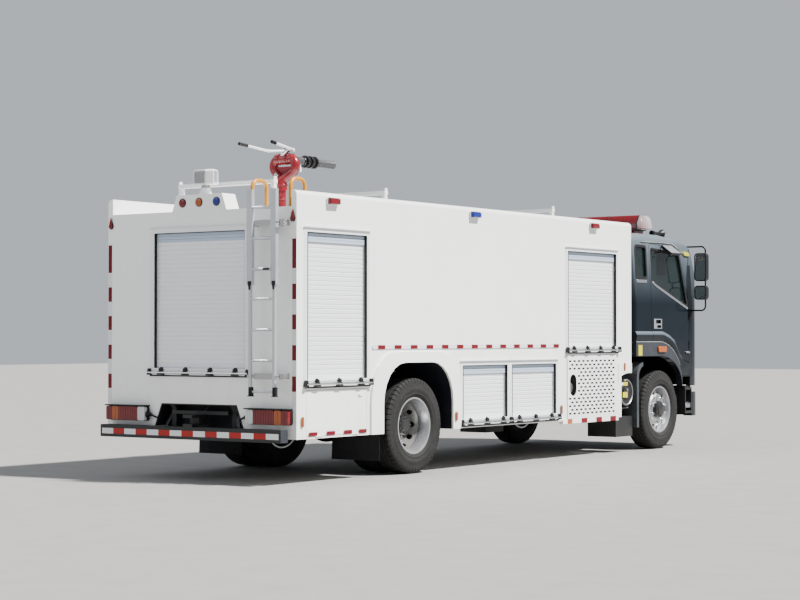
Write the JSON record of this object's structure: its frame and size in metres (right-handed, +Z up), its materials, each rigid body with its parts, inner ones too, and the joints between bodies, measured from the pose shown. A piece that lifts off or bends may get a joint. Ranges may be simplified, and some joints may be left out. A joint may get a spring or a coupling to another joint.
{
  "type": "airport fire truck",
  "caption": "Two-axle airport fire tender: dark tilting cab, white body with roller shutters, pump panels, rear ladder, roof monitor and red-white side tape.",
  "frame": {"origin": "centre of the bounding box's base, on the ground", "axes": "+X forward, +Y to the vehicle's left, +Z up"},
  "size_m": [8.93, 2.964, 3.4712],
  "materials": {
    "white_body": "white paint, semi-gloss",
    "cab_paint": "very dark blue-grey paint, gloss",
    "chassis_paint": "black chassis paint, satin",
    "aluminium": "mill aluminium, brushed",
    "pump_sheet": "light grey paint on perforated sheet",
    "red_paint": "red paint, gloss",
    "yellow_paint": "yellow paint, gloss",
    "clear_lens": "clear lamp plastic over a bright reflector",
    "lamp_lens": "clear and coloured lamp plastic",
    "black_plastic": "black moulded plastic",
    "black_rubber": "black rubber sheet",
    "tyre_rubber": "black tyre rubber",
    "wheel_paint": "silver wheel paint",
    "window_glass": "tinted window glass",
    "engine_iron": "cast iron, painted",
    "seat_fabric": "grey seat cloth",
    "barrel_black": "black paint, satin"
  },
  "bodies": {
    "chassis": {"frame_rails": "chassis_paint", "engine_block": "engine_iron", "front_axle": "chassis_paint", "rear_axle": "chassis_paint", "leaf_springs": "chassis_paint", "mudguards": "black_rubber", "tanks": "chassis_paint", "rear_bumper": "chassis_paint", "body_rear": "white_body", "body_arch": "white_body", "body_middle": "white_body", "body_front": "white_body", "shutters": "aluminium", "pump_panels": "pump_sheet", "light_box": "white_body", "lamps": "lamp_lens", "ladder_upper": "aluminium", "grab_rails": "yellow_paint", "roof_rack": "white_body", "monitor_base": "red_paint", "front_bumper": "chassis_paint", "head_lamps": "clear_lens", "cab_steps": "chassis_paint"},
    "cab": {"cab_shell": "cab_paint", "cab_glass": "window_glass", "dashboard": "black_plastic", "seats": "seat_fabric", "mirrors": "black_plastic", "sun_visor": "black_plastic", "light_bar": "lamp_lens", "grille": "black_plastic"},
    "door_right": {"door_right": "cab_paint", "door_glass_right": "window_glass", "kerb_mirror": "black_plastic"},
    "door_left": {"door_left": "cab_paint", "door_glass_left": "window_glass"},
    "flap_right": {"flap_right": "white_body"},
    "flap_left": {"flap_left": "white_body"},
    "ladder_slide": {"ladder_lower": "aluminium"},
    "monitor_swivel": {"monitor_fork": "red_paint"},
    "monitor_gun": {"monitor_barrel": "barrel_black"},
    "work_lamp": {"work_lamp_head": "white_body"},
    "steer_right": {"knuckle_right": "chassis_paint"},
    "steer_left": {"knuckle_left": "chassis_paint"},
    "front_wheel_right": {"front_rim_right": "wheel_paint", "front_tyre_right": "tyre_rubber"},
    "front_wheel_left": {"front_rim_left": "wheel_paint", "front_tyre_left": "tyre_rubber"},
    "rear_wheel_right": {"rear_rims_right": "wheel_paint", "rear_tyres_right": "tyre_rubber"},
    "rear_wheel_left": {"rear_rims_left": "wheel_paint", "rear_tyres_left": "tyre_rubber"}
  },
  "joints": [
    {"name": "cab_tilt", "type": "hinge", "parent": "chassis", "child": "cab", "pos_m": [4.36, 0, 0.86], "axis": [0, 1, 0], "range_deg": [0, 45]},
    {"name": "door_right_open", "type": "hinge", "parent": "cab", "child": "door_right", "pos_m": [4.032, -1.245, 1.5], "axis": [0, 0, 1], "range_deg": [0, 70]},
    {"name": "door_left_open", "type": "hinge", "parent": "cab", "child": "door_left", "pos_m": [4.032, 1.245, 1.5], "axis": [0, 0, -1], "range_deg": [0, 70]},
    {"name": "flap_right_open", "type": "hinge", "parent": "chassis", "child": "flap_right", "pos_m": [-3.648, -1.25, 0.47], "axis": [1, 0, 0], "range_deg": [0, 90]},
    {"name": "flap_left_open", "type": "hinge", "parent": "chassis", "child": "flap_left", "pos_m": [-3.648, 1.25, 0.47], "axis": [-1, 0, 0], "range_deg": [0, 90]},
    {"name": "ladder_extend", "type": "slide", "parent": "chassis", "child": "ladder_slide", "axis": [0, 0, -1], "range_m": [0, 0.3]},
    {"name": "monitor_pan", "type": "hinge", "parent": "chassis", "child": "monitor_swivel", "pos_m": [-2.98, 0, 3.05], "axis": [0, 0, 1], "range_deg": [-170, 170]},
    {"name": "monitor_elevate", "type": "hinge", "parent": "monitor_swivel", "child": "monitor_gun", "pos_m": [-2.925, 0, 3.33], "axis": [0, -1, 0], "range_deg": [-10, 70]},
    {"name": "work_lamp_pan", "type": "hinge", "parent": "chassis", "child": "work_lamp", "pos_m": [-4.195, 0, 2.945], "axis": [0, 0, 1], "range_deg": [-170, 170]},
    {"name": "steering_left", "type": "hinge", "parent": "chassis", "child": "steer_left", "pos_m": [3.355, 0.9, 0.506], "axis": [0, 0, 1], "range_deg": [-35, 35]},
    {"name": "steering_right", "type": "hinge", "parent": "chassis", "child": "steer_right", "pos_m": [3.355, -0.9, 0.506], "axis": [0, 0, 1], "range_deg": [-35, 35]},
    {"name": "front_wheel_left_spin", "type": "hinge", "parent": "steer_left", "child": "front_wheel_left", "pos_m": [3.355, 1.043, 0.506], "axis": [0, 1, 0], "continuous": true},
    {"name": "front_wheel_right_spin", "type": "hinge", "parent": "steer_right", "child": "front_wheel_right", "pos_m": [3.355, -1.043, 0.506], "axis": [0, 1, 0], "continuous": true},
    {"name": "rear_wheel_left_spin", "type": "hinge", "parent": "chassis", "child": "rear_wheel_left", "pos_m": [-2.195, 1.053, 0.506], "axis": [0, 1, 0], "continuous": true},
    {"name": "rear_wheel_right_spin", "type": "hinge", "parent": "chassis", "child": "rear_wheel_right", "pos_m": [-2.195, -1.053, 0.506], "axis": [0, 1, 0], "continuous": true}
  ],
  "couplings": [
    {"joint": "steering_right", "follows": "steering_left", "ratio": 1}
  ]
}
